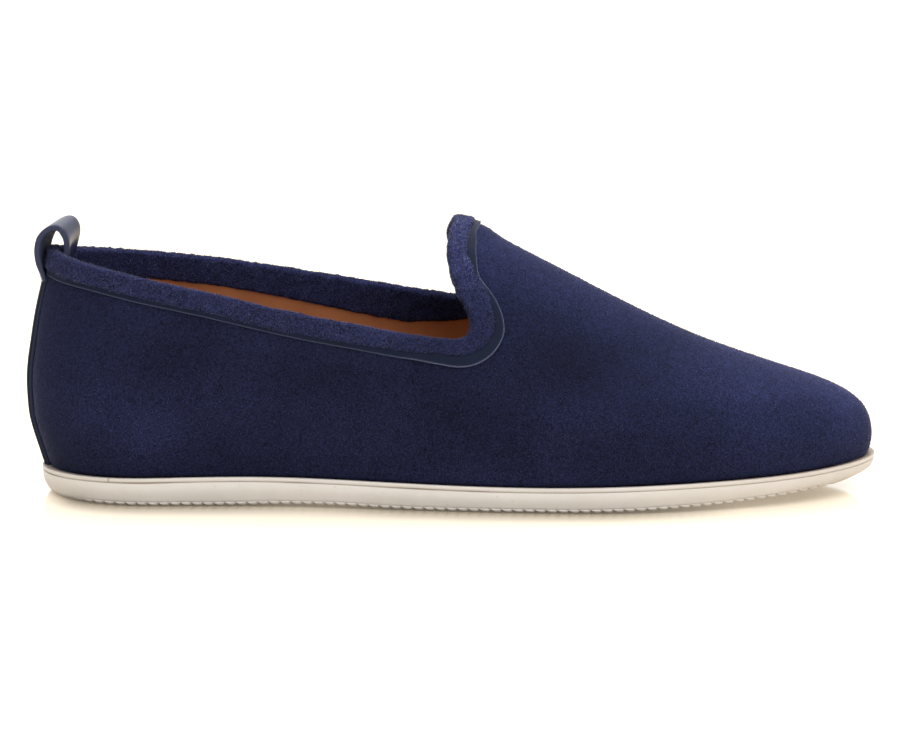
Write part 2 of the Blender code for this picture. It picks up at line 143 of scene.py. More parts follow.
# Side view of the last in millimetres: how far back and forward it reaches at each height,
# and the length over which the outer and the inner side close to the front
PROFILE_COLUMNS = ("height", "back", "front", "nose_outer", "nose_inner")
PROFILE = (
    (4, -135.9, 139.6, 95, 82),
    (10, -137.7, 142.5, 95, 82),
    (17, -139.9, 144.4, 96, 83),
    (23, -141.7, 143.8, 100, 88),
    (28, -142.7, 141.4, 107, 98),
    (32, -143.0, 137.0, 114, 106),
    (36, -143.2, 129.4, 120, 114),
    (41, -143.1, 115.6, 126, 122),
    (50, -142.1, 90.2, 130, 128),
    (60, -140.8, 67.6, 126, 126),
    (70, -138.9, 48.0, 114, 116),
    (80, -136.7, 28.9, 104, 106),
    (88, -134.9, 14.9, 100, 102),
    (91.4, -134.1, 8.6, 145, 145),
    (93.6, -133.5, -0.9, 215, 215),
)

# Half widths in millimetres, from the centre line, at five stations along the foot
STATION_X = (-105, -60, -15, 45, 100)
WIDTH_COLUMNS = ("height", "heel", "waist", "instep", "ball", "toe")
OUTER_WIDTHS = (
    (4, 31.5, 31.8, 38.8, 45.6, 46.0),
    (10, 33.2, 33.6, 40.4, 47.0, 47.0),
    (20, 35.0, 35.6, 42.0, 48.6, 48.4),
    (35, 35.2, 36.6, 42.2, 47.8, 48.0),
    (50, 33.2, 36.6, 41.6, 46.2, 47.0),
    (65, 30.2, 35.4, 40.0, 44.0, 45.0),
    (80, 27.4, 33.0, 37.6, 41.0, 42.0),
    (95, 24.8, 30.2, 34.4, 38.0, 39.0),
)
INNER_WIDTHS = (
    (4, 31.5, 28.4, 31.6, 45.6, 46.0),
    (10, 33.2, 30.4, 33.6, 47.2, 47.4),
    (20, 35.0, 33.0, 36.8, 48.8, 48.8),
    (35, 35.2, 35.0, 39.8, 47.8, 48.4),
    (50, 33.2, 35.6, 40.6, 46.2, 47.0),
    (65, 30.2, 34.8, 39.6, 44.0, 45.0),
    (80, 27.4, 32.8, 37.4, 41.0, 42.0),
    (95, 24.8, 30.2, 34.4, 38.0, 39.0),
)

# Edge of the upper in side view, heel to throat, how much higher the inner side is, and how
# far below the edge the binding, the piping and the suede facing inside reach
COLLAR_COLUMNS = ("x", "height", "inner_lift", "binding", "piping", "facing")
COLLAR = (
    (-136.2, 83.0, 0.0, 6.0, 7.6, 8.0),
    (-121.0, 78.7, 0.8, 5.9, 7.3, 8.0),
    (-100.0, 74.5, 2.4, 5.8, 7.1, 8.2),
    (-79.0, 70.4, 4.0, 5.8, 7.1, 8.6),
    (-58.0, 65.8, 5.0, 5.8, 7.1, 9.2),
    (-33.0, 61.2, 5.4, 5.6, 7.1, 10.6),
    (-14.0, 58.0, 5.4, 5.0, 7.4, 11.2),
    (-2.0, 56.5, 5.2, 4.6, 8.0, 9.0),
    (5.0, 57.2, 4.8, 5.6, 9.2, 7.4),
    (7.4, 61.0, 4.2, 6.8, 10.2, 8.0),
    (6.6, 66.0, 3.4, 7.3, 9.6, 9.4),
    (3.6, 71.5, 2.6, 8.2, 8.7, 10.0),
    (1.1, 77.5, 1.8, 7.2, 8.1, 10.0),
    (0.1, 83.0, 1.0, 5.7, 8.7, 9.6),
    (0.2, 88.0, 0.5, 5.3, 8.3, 9.6),
    (1.1, 91.2, 0.1, 5.2, 7.5, 9.6),
    (2.3, 92.9, 0.0, 5.1, 7.1, 9.6),
)

# Feather line, where the upper meets the welt: height above the floor along the sole
FEATHER_COLUMNS = ("x", "height")
FEATHER = (
    (-140, 9.1),
    (-100, 9.6),
    (-65, 10.1),
    (-20, 9.3),
    (30, 8.6),
    (60, 9.1),
    (90, 9.8),
    (120, 10.5),
    (146, 11.9),
)

# Sides of the sole's layers: share of the height, and how far each stands out from the feather line
SIDE_COLUMNS = ("level", "side", "heel", "toe")
SOLE_SIDE = (
    (0.00, -0.6, -1.2, -3.8),
    (0.08, 0.2, -0.2, -2.8),
    (0.32, 1.3, 1.4, 0.2),
    (0.70, 2.0, 2.5, 1.9),
    (1.00, 2.0, 2.6, 2.3),
)

# Pull loop in the plane of the heel: distance out from the upper, height, and how far it is
# turned from lying round the heel (0) to its free skew (1)
LOOP_COLUMNS = ("out", "height", "free")
LOOP = (
    (0.9, 72.4, 0.0),
    (1.9, 75.0, 0.1),
    (3.0, 78.5, 0.4),
    (3.7, 83.0, 0.7),
    (3.0, 88.0, 1.0),
    (0.6, 91.1, 1.0),
    (-2.6, 91.7, 1.0),
    (-5.2, 89.2, 0.9),
    (-6.1, 84.6, 0.5),
    (-5.9, 79.0, 0.1),
    (-5.5, 73.5, 0.0),
    (-5.4, 67.5, 0.0),
)

# Soft lighter and darker ovals on the suede, partly nap tone and partly painted light and shade, such as a
# painted highlight at the toe's front and painted shadow under the collar: place and half size in side
# view, in millimetres
NAP_COLUMNS = ("x", "z", "long", "high", "shade")
NAP_PATCHES = (
    (-114, 33, 13, 9, 0.40),
    (-99, 27, 12, 8, 0.60),
    (-104, 20, 12, 5, 0.35),
    (-24, 25, 12, 8, 0.35),
    (2, 36, 22, 9, -0.25),
    (-88, 50, 26, 7, -0.25),
    (50, 49, 34, 13, -0.60),
    (48, 33, 14, 7, 0.20),
    (70, 22, 18, 12, -0.25),
    (112, 26, 30, 16, 0.55),
    (137, 26, 10, 12, 0.90),
    (12, 82, 6, 8, 0.35),
    (-24, 46, 22, 5, -0.35),
    (1, 27, 14, 9, -0.30),
    (22, 12, 34, 3, 0.30),
    (-60, 14, 30, 4, -0.20),
)

# Dirt along the welt's seam: place and half length in millimetres, and how dark
SEAM_SOIL = (
    (-136, 4, 0.9),
    (-103, 10, 1.0),
    (-52, 6, 0.5),
    (-12, 10, 0.8),
    (8, 6, 0.6),
)

# Darkening up the welt's section: dirt in the seam below it, and painted shade on its face and, stronger,
# over its top to the suede
WELT_SEAM_SOIL = (1.0, 1.0, 0.9, 0.8, 0.4, 0.1)
WELT_FACE_SHADE = 0.15
WELT_TOP_SHADE = (0.2, 0.25, 0.3, 0.4, 0.5, 0.6)

# Painted shade that darkens the rubber toward its ends: share, and where it starts and is full, in
# millimetres
SOLE_END_SHADE = ((0.15, -112, -136), (0.25, 30, 100), (0.12, 110, 140))
WELT_END_SHADE = ((1.5, 50, 130), (0.6, -85, -125))

# Soft troughs and ridges of the upper: place, half size and turn in side view, and depth
CREASE_COLUMNS = ("x", "z", "long", "high", "turn", "depth")
CREASES = (
    (-62, 40, 34, 9, -8, 0.55),
    (-108, 56, 20, 6, -14, 0.35),
    (16, 44, 5, 18, -24, 0.45),
    (30, 50, 5, 17, -24, -0.30),
    (76, 30, 8, 15, -18, 0.30),
    (-118, 26, 9, 12, 20, -0.30),
)


def columns(names, rows):
    """Named columns of a table as arrays."""
    return dict(zip(names, np.array(rows, float).T))


def spline(knots, values, at):
    """Natural cubic curve through values at knots, read at the given places."""
    knots = np.asarray(knots, float)
    values = np.asarray(values, float)
    step = np.diff(knots)
    slope = np.diff(values) / step
    system = np.eye(len(knots))
    right = np.zeros(len(knots))
    for i in range(1, len(knots) - 1):
        system[i, i - 1 : i + 2] = step[i - 1], 2 * (step[i - 1] + step[i]), step[i]
        right[i] = 6 * (slope[i] - slope[i - 1])
    bend = np.linalg.solve(system, right)
    i = np.clip(np.searchsorted(knots, at) - 1, 0, len(step) - 1)
    t = at - knots[i]
    first = slope[i] - step[i] * (2 * bend[i] + bend[i + 1]) / 6
    return values[i] + t * (first + t * (bend[i] / 2 + t * (bend[i + 1] - bend[i]) / (6 * step[i])))


def ramp(x, start, end):
    """0 before start, 1 after end, straight between."""
    return np.clip((x - start) / (end - start), 0, 1)


def soft_ramp(x, start, end):
    """0 before start, 1 after end, with an S curve between."""
    t = ramp(x, start, end)
    return t * t * (3 - 2 * t)


def rounding(t):
    """Quarter ellipse from 0 to 1 that closes an outline at its end."""
    return np.sqrt(np.clip(1 - (1 - np.clip(t, 0, 1)) ** 2, 0, 1))


profile = columns(PROFILE_COLUMNS, PROFILE)
collar = columns(COLLAR_COLUMNS, COLLAR)
feather = columns(FEATHER_COLUMNS, FEATHER)
sole_side = columns(SIDE_COLUMNS, SOLE_SIDE)
loop = columns(LOOP_COLUMNS, LOOP)


def side_view(name, z):
    """One column of the side view, in metres, at height z."""
    return spline(profile["height"], profile[name], z / MM) * MM


def half_width(table, x, z):
    """Half width: each station's column is read at z, and a curve through the stations is read at x."""
    widths = columns(WIDTH_COLUMNS, table)
    total = 0
    for i, station in enumerate(WIDTH_COLUMNS[1:]):
        share = spline(STATION_X, np.eye(len(STATION_X))[i], x / MM)
        total = total + share * spline(widths["height"], widths[station], z / MM)
    return total * MM


def centre_line(x):
    """Middle of the foot in plan: straight at the heel, swinging inward to the toe as a parabola."""
    return HEEL_CENTRE + TOE_SWING * ramp(x, SWING_START, SWING_END) ** 2


def last(theta, z, side=0.0, heel=None, toe=None):
    """Point of the last: x runs from back to front as a cosine of theta, y is the half width there,
    rounded off at heel and toe. Margins move it out at the sides, heel and toe."""
    heel = side if heel is None else heel
    toe = side if toe is None else toe
    theta = np.mod(theta, 2 * math.pi)
    back = side_view("back", z) - heel
    front = side_view("front", z) + toe
    x = back + (front - back) * (1 - np.cos(theta)) / 2
    outer = theta <= math.pi
    nose = np.where(outer, side_view("nose_outer", z), side_view("nose_inner", z)) + toe
    width = np.where(outer, half_width(OUTER_WIDTHS, x, z), half_width(INNER_WIDTHS, x, z)) + side
    width = width * rounding((front - x) / nose) * rounding((x - back) / (HEEL_ROUND + heel))
    return np.stack([x, centre_line(x) - np.where(outer, 1, -1) * width, z + 0 * x], axis=-1)


def angle_at(x, z):
    """Angle on the last of a place in side view, from 0 at the heel to pi at the front."""
    back = side_view("back", z)
    front = side_view("front", z)
    return np.arccos(np.clip(1 - 2 * (x - back) / (front - back), -1, 1))


def slopes(theta, z):
    """How the point of the last moves with theta and with z, from small steps either way."""
    turn = 1e-3
    rise = 0.05 * MM
    along = (last(theta + turn, z) - last(theta - turn, z)) / (2 * turn)
    up = (last(theta, z + rise) - last(theta, z - rise)) / (2 * rise)
    return along, up


def unit(v):
    """The same way with length one."""
    return v / np.linalg.norm(v, axis=-1, keepdims=True)


def outward(theta, z):
    """Way out of the last: square to both of its slopes."""
    along, up = slopes(theta, z)
    return unit(np.cross(along, up))


def walk(theta, z, direction, distance, steps=8):
    """Walks a distance over the last, straight ahead from theta and z, and gives the new theta and z."""
    for _ in range(steps):
        along, up = slopes(theta, z)
        a = np.sum(along * along, axis=-1)
        b = np.sum(along * up, axis=-1)
        c = np.sum(up * up, axis=-1)
        p = np.sum(along * direction, axis=-1)
        q = np.sum(up * direction, axis=-1)
        turn = (c * p - b * q) / (a * c - b * b)
        rise = (a * q - b * p) / (a * c - b * b)
        direction = unit(along * turn[..., None] + up * rise[..., None])
        theta = theta + turn * distance / steps
        z = z + rise * distance / steps
    return theta, z


def lengths(points):
    """Distance along a row of points, from its start."""
    return np.concatenate([[0], np.cumsum(np.linalg.norm(np.diff(points, axis=0), axis=-1))])


def feather_height(theta):
    """Height of the feather line at theta, found by reading it again at the point it gives."""
    z = np.full_like(theta, feather["height"].mean() * MM)
    for _ in range(4):
        z = spline(feather["x"], feather["height"], last(theta, z)[..., 0] / MM) * MM
    return z


def collar_half(lift, steps):
    """Theta, height and reaches along half of the collar, in even steps of three measures together:
    along the collar, along the feather line below it, and by how much the collar turns."""
    height = (collar["height"] + lift * collar["inner_lift"]) * MM
    theta = angle_at(collar["x"] * MM, height)
    theta[0] = 0
    theta[-1] = math.pi
    row = lengths(last(theta, height))
    fine = np.linspace(0, row[-1], FINE_STEPS)
    theta_fine = spline(row, theta, fine)
    height_fine = spline(row, height, fine)
    edge = last(theta_fine, height_fine)
    low = lengths(last(theta_fine, feather_height(theta_fine)))
    turn = lengths(unit(np.gradient(edge, axis=0)))
    place = low / low[-1] + lengths(edge) / lengths(edge)[-1] + TURN_SHARE * turn / turn[-1]
    at = np.interp(np.linspace(0, place[-1], steps + 1), place, fine)
    reach = [np.interp(at, row, collar[name] * MM) for name in COLLAR_COLUMNS[3:]]
    return np.array([spline(row, theta, at), spline(row, height, at), *reach])


def collar_ring(count):
    """Collar as named arrays, all the way round: heel, outer side, throat, inner side."""
    outer = collar_half(0, count // 2)
    inner = collar_half(1, count // 2)
    inner[0] = 2 * math.pi - inner[0]
    whole = np.concatenate([outer, inner[:, -2:0:-1]], axis=1)
    ring = dict(zip(("theta", "height", *COLLAR_COLUMNS[3:]), whole))
    edge = last(ring["theta"], ring["height"])
    along = unit(np.roll(edge, -1, axis=0) - np.roll(edge, 1, axis=0))
    ring["edge"] = edge
    ring["out"] = outward(ring["theta"], ring["height"])
    ring["down"] = unit(np.cross(along, ring["out"]))
    return ring


def signed(theta):
    """Angle from -pi to pi."""
    return np.mod(theta + math.pi, 2 * math.pi) - math.pi


def uncrossed(before, after):
    """Keeps columns in order at the ridge and the back seam, which a walk can overshoot: within a small
    window the angle shrinks evenly toward the seam instead."""
    window = 0.15
    for seam in (0.0, math.pi):
        start = signed(before - seam)
        end = signed(after - seam)
        for side in (-1, 1):
            order = np.argsort(side * start)
            at_edge = np.interp(window, side * start[order], side * end[order])
            near = (side * start >= 0) & (side * start < window)
            after = np.where(near, before + start * (at_edge / window - 1), after)
    return after


def below(ring, distance):
    """Theta and z at a distance below the collar's edge, walked over the last."""
    theta, z = walk(ring["theta"], ring["height"], ring["down"], distance)
    return uncrossed(ring["theta"], theta), z


def lifted(place, distance):
    """Points at a distance out from the last, at the given theta and z."""
    return last(*place) + outward(*place) * distance


def sole_bottom(x):
    """Height of the tread: flat under heel and ball, a low arch between, and the toe spring."""
    arch = ARCH_RISE * np.sin(math.pi * ramp(x, ARCH_START, ARCH_END)) ** 2
    return arch + TOE_SPRING * ramp(x, SPRING_START, SPRING_END) ** SPRING_POWER


def feather_top(x):
    """Height of the feather line at x."""
    return spline(feather["x"], feather["height"], x / MM) * MM


def outsole_top(x):
    """Height of the outsole's top at x, a welt below the feather line."""
    return feather_top(x) - WELT_SEAM


def waves(points, size, seed, count=28):
    """Random soft lumps about size across: a sum of plane waves in seeded directions, from -1 to 1."""
    draw = np.random.default_rng(seed)
    way = unit(draw.normal(size=(count, 3))) * (2 * math.pi / (size * draw.uniform(1.4, 3.2, (count, 1))))
    start = draw.uniform(0, 2 * math.pi, count)
    total = np.zeros(points.shape[:-1])
    for k, phase in zip(way, start):
        total += np.sin(points @ k + phase)
    return total / math.sqrt(count)


def grid_quads(rows, across, ring=False, tube=False):
    """Corner numbers of the quads of a grid. ring joins its last row to the first, tube does so across."""
    i = np.arange(rows if ring else rows - 1)[:, None]
    j = np.arange(across if tube else across - 1)
    k = (i + 1) % rows
    m = (j + 1) % across
    corners = [i * across + j, k * across + j, k * across + m, i * across + m]
    return np.stack(corners, axis=-1).reshape(-1, 4)


def new_mesh(name, points, faces, finish, marks):
    """Mesh of points and faces with its finish, and with marks as point attributes."""
    mesh = bpy.data.meshes.new(name)
    mesh.from_pydata(points.reshape(-1, 3).tolist(), [], faces.tolist())
    for mark, values in marks.items():
        attribute = mesh.attributes.new(mark, "FLOAT", "POINT")
        attribute.data.foreach_set("value", np.ascontiguousarray(values, np.float32).ravel())
    mesh.materials.append(finish)
    return mesh


def new_object(name, data):
    """Object of a mesh, lamp or camera, put into the scene."""
    made = bpy.data.objects.new(name, data)
    bpy.context.scene.collection.objects.link(made)
    return made


def piece(name, points, faces, finish, replaces=(), marks=None):
    """Closed smooth mesh of points and faces that rides on the slipper."""
    mesh = new_mesh(name, points, faces, finish, marks or {})
    shape = bmesh.new()
    shape.from_mesh(mesh)
    bmesh.ops.remove_doubles(shape, verts=shape.verts, dist=1e-7)
    bmesh.ops.recalc_face_normals(shape, faces=shape.faces)
    shape.to_mesh(mesh)
    shape.free()
    mesh.shade_smooth()
    made = new_object(name, mesh)
    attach(made, BODY)
    if replaces:
        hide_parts(*replaces)


def srgb(code):
    """Linear colour of an sRGB hex value."""
    part = np.array([int(code[i : i + 2], 16) for i in (1, 3, 5)]) / 255
    return (*np.where(part <= 0.04045, part / 12.92, ((part + 0.055) / 1.055) ** 2.4), 1.0)


def set_inputs(tree, node, inputs):
    """Sets or links the inputs of a node by name or number."""
    for key, value in inputs.items():
        if isinstance(value, bpy.types.NodeSocket):
            tree.links.new(value, node.inputs[key])
        else:
            node.inputs[key].default_value = value


def add(tree, kind, inputs=None, output=0, **settings):
    """Adds a shader node with its settings, sets or links its inputs, and gives one of its outputs."""
    made = tree.nodes.new("ShaderNode" + kind)
    for key, value in settings.items():
        setattr(made, key, value)
    set_inputs(tree, made, inputs or {})
    return made.outputs[output]


def start_material(name, sockets):
    """New material: its node tree, its shader with constant sockets set, and Object coordinates."""
    made = bpy.data.materials.new(name)
    made.use_nodes = True
    tree = made.node_tree
    shader = tree.nodes["Principled BSDF"]
    set_inputs(tree, shader, sockets)
    return made, tree, shader, add(tree, "TexCoord", output="Object")


def suede_finish(name, dark, light, fibre, sheen):
    """Brushed calf suede: a dyed felt of short fibres. It drinks light, glows pale at grazing angles,
    and shows soft lighter and darker clouds where the nap lies another way. Its colour is scaled by the nap
    mark, which holds painted light and shade as well as nap tone. Real fibres are a tenth
    as wide as the grain drawn here, too fine to show."""
    made, tree, shader, coords = start_material(name, {
        "Roughness": 0.95, "Specular IOR Level": 0.08,
        "Sheen Weight": sheen, "Sheen Roughness": 0.2, "Sheen Tint": srgb("#A0A6D8")})
    fine = add(tree, "TexNoise", {"Vector": coords, "Scale": 1 / fibre, "Detail": 3.0, "Roughness": 0.65})
    clump = add(tree, "TexNoise", {"Vector": coords, "Scale": 0.25 / fibre, "Detail": 2.0})
    cloud = add(tree, "TexNoise", {"Vector": coords, "Scale": 1 / (16 * MM), "Detail": 2.0})
    tone = 0.0
    for noise, part in ((fine, 0.86), (clump, 0.14), (cloud, 0.10)):
        tone = add(tree, "Math", {0: noise, 1: part, 2: tone}, operation="MULTIPLY_ADD")
    share = add(tree, "MapRange", {0: tone, 1: 0.39, 2: 0.73, 3: 0.0, 4: 1.0})
    colour = add(tree, "Mix", {0: share, 6: srgb(dark), 7: srgb(light)}, 2, data_type="RGBA")
    # The nap mark scales the colour: nap tone together with painted light and shade
    nap = add(tree, "Attribute", output="Fac", attribute_name="nap")
    shade = add(tree, "Math", {0: nap, 1: 0.55, 2: 1.0}, operation="MULTIPLY_ADD")
    colour = add(tree, "VectorMath", {0: colour, "Scale": shade}, operation="SCALE")
    height = add(tree, "Math", {0: clump, 1: 0.8, 2: fine}, operation="MULTIPLY_ADD")
    bump = add(tree, "Bump", {"Height": height, "Distance": 0.35 * fibre, "Strength": 0.7})
    set_inputs(tree, shader, {"Base Color": colour, "Normal": bump})
    return made


def fibre_finish(name, dark, light):
    """Loose fibres of suede: the same dye, each a little lighter or darker at random, and lighter where
    painted light is set on them.
    """
    made, tree, shader, _ = start_material(name, {
        "Roughness": 0.9, "Specular IOR Level": 0.1,
        "Sheen Weight": 0.3, "Sheen Roughness": 0.5, "Sheen Tint": srgb("#A9AFD2")})
    tone = add(tree, "Attribute", output="Fac", attribute_name="tone")
    colour = add(tree, "Mix", {0: tone, 6: srgb(dark), 7: srgb(light)}, 2, data_type="RGBA")
    set_inputs(tree, shader, {"Base Color": colour})
    return made


def smooth_leather_finish(name, dark, light, shine, roughness):
    """Dyed calf leather, plated smooth: a dark slate face with a shine, a paler raw cut edge, and a
    rough dark flesh side."""
    made, tree, shader, coords = start_material(name, {"Specular IOR Level": shine})
    pore = add(tree, "TexNoise", {"Vector": coords, "Scale": 1 / (0.5 * MM), "Detail": 2.0})
    cloud = add(tree, "TexNoise", {"Vector": coords, "Scale": 1 / (6 * MM), "Detail": 2.0})
    face = add(tree, "Mix", {0: cloud, 6: srgb(dark), 7: srgb(light)}, 2, data_type="RGBA")
    edge = add(tree, "Attribute", output="Fac", attribute_name="edge")
    fray = add(tree, "Math", {0: pore, 1: 0.8, 2: 0.5}, operation="MULTIPLY_ADD")
    wear_and_shade = add(tree, "Math", {0: edge, 1: fray}, operation="MULTIPLY", use_clamp=True)
    colour = add(tree, "Mix", {0: wear_and_shade, 6: face, 7: srgb("#50576F")}, 2, data_type="RGBA")
    flesh = add(tree, "Attribute", output="Fac", attribute_name="inside")
    colour = add(tree, "Mix", {0: flesh, 6: colour, 7: srgb("#2A2F46")}, 2, data_type="RGBA")
    rough = add(tree, "MapRange", {0: wear_and_shade, 1: 0.0, 2: 1.0, 3: roughness, 4: 0.75})
    rough = add(tree, "Math", {0: flesh, 1: 0.5, 2: rough}, operation="MULTIPLY_ADD", use_clamp=True)
    bump = add(tree, "Bump", {"Height": pore, "Distance": 0.05 * MM, "Strength": 0.5})
    set_inputs(tree, shader, {"Base Color": colour, "Roughness": rough, "Normal": bump})
    return made


def lining_finish():
    """Vegetable-tanned lining leather: warm tan, matt, with fine pores and uneven dye."""
    made, tree, shader, coords = start_material(
        "tan_lining_leather", {"Roughness": 0.62, "Specular IOR Level": 0.3})
    pore = add(tree, "TexNoise", {"Vector": coords, "Scale": 1 / (0.6 * MM), "Detail": 3.0})
    cloud = add(tree, "TexNoise", {"Vector": coords, "Scale": 1 / (14 * MM), "Detail": 3.0})
    tone = add(tree, "Math", {0: pore, 1: 0.35, 2: cloud}, operation="MULTIPLY_ADD")
    share = add(tree, "MapRange", {0: tone, 1: 0.3, 2: 1.05, 3: 0.0, 4: 1.0})
    colour = add(tree, "Mix", {0: share, 6: srgb("#87512F"), 7: srgb("#A0683F")}, 2, data_type="RGBA")
    bump = add(tree, "Bump", {"Height": pore, "Distance": 0.08 * MM, "Strength": 0.5})
    set_inputs(tree, shader, {"Base Color": colour, "Normal": bump})
    return made


def rubber_finish():
    """Moulded cream crepe rubber: pale, satin, with faint clouds, fine grit, grey specks, and grey marks
    that are partly dirt and partly painted shade.
    """
    made, tree, shader, coords = start_material(
        "cream_moulded_rubber", {"Roughness": 0.5, "Specular IOR Level": 0.35})
    cloud = add(tree, "TexNoise", {"Vector": coords, "Scale": 1 / (9 * MM), "Detail": 3.0})
    grit = add(tree, "TexNoise", {"Vector": coords, "Scale": 1 / (0.5 * MM), "Detail": 2.0})
    spots = add(tree, "TexNoise", {"Vector": coords, "Scale": 1 / (1.6 * MM), "Detail": 1.0})
    colour = add(tree, "Mix", {0: cloud, 6: srgb("#C4C0BC"), 7: srgb("#CFCBC7")}, 2, data_type="RGBA")
    speck = add(tree, "MapRange", {0: spots, 1: 0.70, 2: 0.80, 3: 0.0, 4: 0.25})
    colour = add(tree, "Mix", {0: speck, 6: colour, 7: srgb("#9C9081")}, 2, data_type="RGBA")
    # This mark holds dirt along the seams and painted shade in notches, grooves, under the suede and toward
    # the ends
    dirt_and_shade = add(tree, "Attribute", output="Fac", attribute_name="dirt_and_shade")
    colour = add(tree, "Mix", {0: dirt_and_shade, 6: colour, 7: srgb("#93867A")}, 2, data_type="RGBA")
    bump = add(tree, "Bump", {"Height": grit, "Distance": 0.06 * MM, "Strength": 0.35})
    set_inputs(tree, shader, {"Base Color": colour, "Normal": bump})
    return made


def nap_tone_and_painted_light(points, facing):
    """How light the suede is drawn: lighter where it faces up, as painted light, and soft ovals from the
    table, partly nap tone and partly painted light and shade, each a bell curve in side view."""
    # Painted light: faces turned up are drawn lighter
    total = 1.0 * soft_ramp(facing, 0.5, 1.0) - 0.15
    for row in NAP_PATCHES:
        at = dict(zip(NAP_COLUMNS, row))
        u = (points[..., 0] / MM - at["x"]) / at["long"]
        v = (points[..., 2] / MM - at["z"]) / at["high"]
        total += at["shade"] * np.exp(-u * u - v * v)
    return total + 0.12 * waves(points, 16 * MM, seed=5)


def crease_depth(points):
    """Soft troughs and ridges of the upper: turned bell curves in side view, on both sides alike."""
    total = np.zeros(points.shape[:-1])
    for row in CREASES:
        at = dict(zip(CREASE_COLUMNS, row))
        turn = math.radians(at["turn"])
        x = points[..., 0] / MM - at["x"]
        z = points[..., 2] / MM - at["z"]
        u = (x * math.cos(turn) + z * math.sin(turn)) / at["long"]
        v = (z * math.cos(turn) - x * math.sin(turn)) / at["high"]
        total += at["depth"] * MM * np.exp(-u * u - v * v)
    return total


def upper_places(ring, first, rows):
    """Theta and z down the upper: from a row below the collar straight down to the feather line."""
    top_theta, top_z = first
    share = (1 - (1 - np.linspace(0, 1, rows)) ** 1.3)[:, None]
    theta = top_theta + share * (ring["theta"] - top_theta)
    z = top_z + share * (feather_height(ring["theta"]) - top_z)
    return theta, z


def shell(outer, inner):
    """One closed band: down the outer rows, then back up the inner rows, as a tube across."""
    points = np.concatenate([outer, inner[::-1]]).transpose(1, 0, 2)
    return points, grid_quads(*points.shape[:2], ring=True, tube=True)


def make_upper(finish):
    """Suede shell: the last's surface from collar to feather line with its creases, the foot of it
    tucked in and sunk behind the welt's edge, and a plain inner face one suede thickness inside."""
    ring = collar_ring(UPPER_ROUND)
    top = [last(*below(ring, share * ring["piping"])) for share in (0.0, 0.5)]
    places = upper_places(ring, below(ring, ring["piping"]), UPPER_ROWS)
    wall = last(*places)
    out = outward(*places)
    foot = wall[-1, :, 2]
    tuck = 1 - rounding((wall[..., 2] - foot) / FOOT_TUCK_HEIGHT)
    wall = wall - out * (crease_depth(wall) + FOOT_TUCK * tuck)[..., None]
    sunk = np.array([0, 0, -FOOT_SUNK])
    outer = np.concatenate([top, wall, wall[-1:] + sunk])
    inner_rows = np.linspace(0, UPPER_ROWS - 1, INNER_ROWS).astype(int).tolist()
    inner_top = lifted((ring["theta"], ring["height"]), -SUEDE_THICKNESS)[None]
    inner_wall = (last(*places) - out * SUEDE_THICKNESS)[inner_rows]
    inner = np.concatenate([inner_top, inner_wall, inner_wall[-1:] + sunk])
    points, faces = shell(outer, inner)
    # The nap mark holds nap tone and painted light: lighter on upward faces, lighter and darker in patches
    up = np.concatenate([out[[0, 0]], out, out[[-1]], out[[0, *inner_rows, -1]][::-1]])[..., 2].T
    piece("upper_suede", points, faces, finish, ["upper"], {"nap": nap_tone_and_painted_light(points, up)})
    return wall, out


def make_lining(finish):
    """Tan leather inside the upper: the last's surface moved in, from under the facing to the insole."""
    ring = collar_ring(UPPER_ROUND // 2)
    theta, z = upper_places(ring, below(ring, ring["facing"] - LINING_LAP), LINING_ROWS)
    out = outward(theta, z)
    surface = last(theta, z)
    points, faces = shell(surface - out * LINING_DEPTH, surface - out * WALL)
    piece("lining_leather", points, faces, finish)


def band_section(ring):
    """Rolled band: up the outer face, over the edge as half an ellipse, and down the inner face.
    The faces swell to full thickness a little above their lower edges."""
    share = np.linspace(0, 1, 12)
    swell = rounding(share / 0.35)
    outer = []
    inner = []
    rise = GAP + BINDING_THICKNESS
    depth = WALL + GAP + FACING_THICKNESS
    for t, full in zip(share, 0.25 + 0.75 * swell):
        outer.append(lifted(below(ring, (1 - t) * ring["binding"]), rise - BINDING_THICKNESS * (1 - full)))
        inner.append(lifted(below(ring, (1 - t) * ring["facing"]), FACING_THICKNESS * (1 - full) - depth))
    half = (rise + depth) / 2
    arc = np.linspace(0, math.pi, 16)[1:-1, None, None]
    over = ring["out"] * (rise - half + half * np.cos(arc)) - ring["down"] * rise * np.sin(arc)
    return np.concatenate([np.array(outer), ring["edge"] + over, np.array(inner)[::-1]])


def band_painted_light_and_shade(points):
    """Painted light and shade on the band: lightest at the top of the throat, darkest round its corner."""
    throat = soft_ramp(points[..., 0], -30 * MM, -5 * MM)
    return throat * (soft_ramp(points[..., 2], 62 * MM, 86 * MM) - 0.55) - 0.25 * (1 - throat)


def make_binding(finish):
    """Rough suede band: its section carried round the collar, sunk a little between its borders so that
    the tips of the nap reach its full size, roughened by small lumps, and closed against the wall."""
    ring = collar_ring(BAND_ROUND)
    section = band_section(ring)
    way = unit(np.gradient(section, axis=0))
    along = unit(np.roll(section, -1, axis=1) - np.roll(section, 1, axis=1))
    out = unit(np.cross(along, way))
    lumps = 0.12 * MM * waves(section, 1.2 * MM, seed=3) + 0.08 * MM * waves(section, 4 * MM, seed=4)
    share = np.linspace(0, 1, len(section))[:, None]
    sink = NAP_SINK * np.sqrt(4 * share * (1 - share))
    section = section + out * (lumps - sink)[..., None]
    hidden = np.array([lifted(below(ring, ring["facing"]), -WALL),
                       lifted((ring["theta"], ring["height"]), -0.4 * WALL),
                       lifted(below(ring, ring["binding"]), GAP)])
    points = np.concatenate([section, hidden]).transpose(1, 0, 2)
    faces = grid_quads(*points.shape[:2], ring=True, tube=True)
    # The nap mark is random nap tone plus painted light at the top of the throat and painted shade
    # elsewhere
    piece("binding_suede", points, faces, finish, ["collar_binding"],
          {"nap": 0.12 * waves(points, 3 * MM, seed=6) + band_painted_light_and_shade(points)})
    return section, out


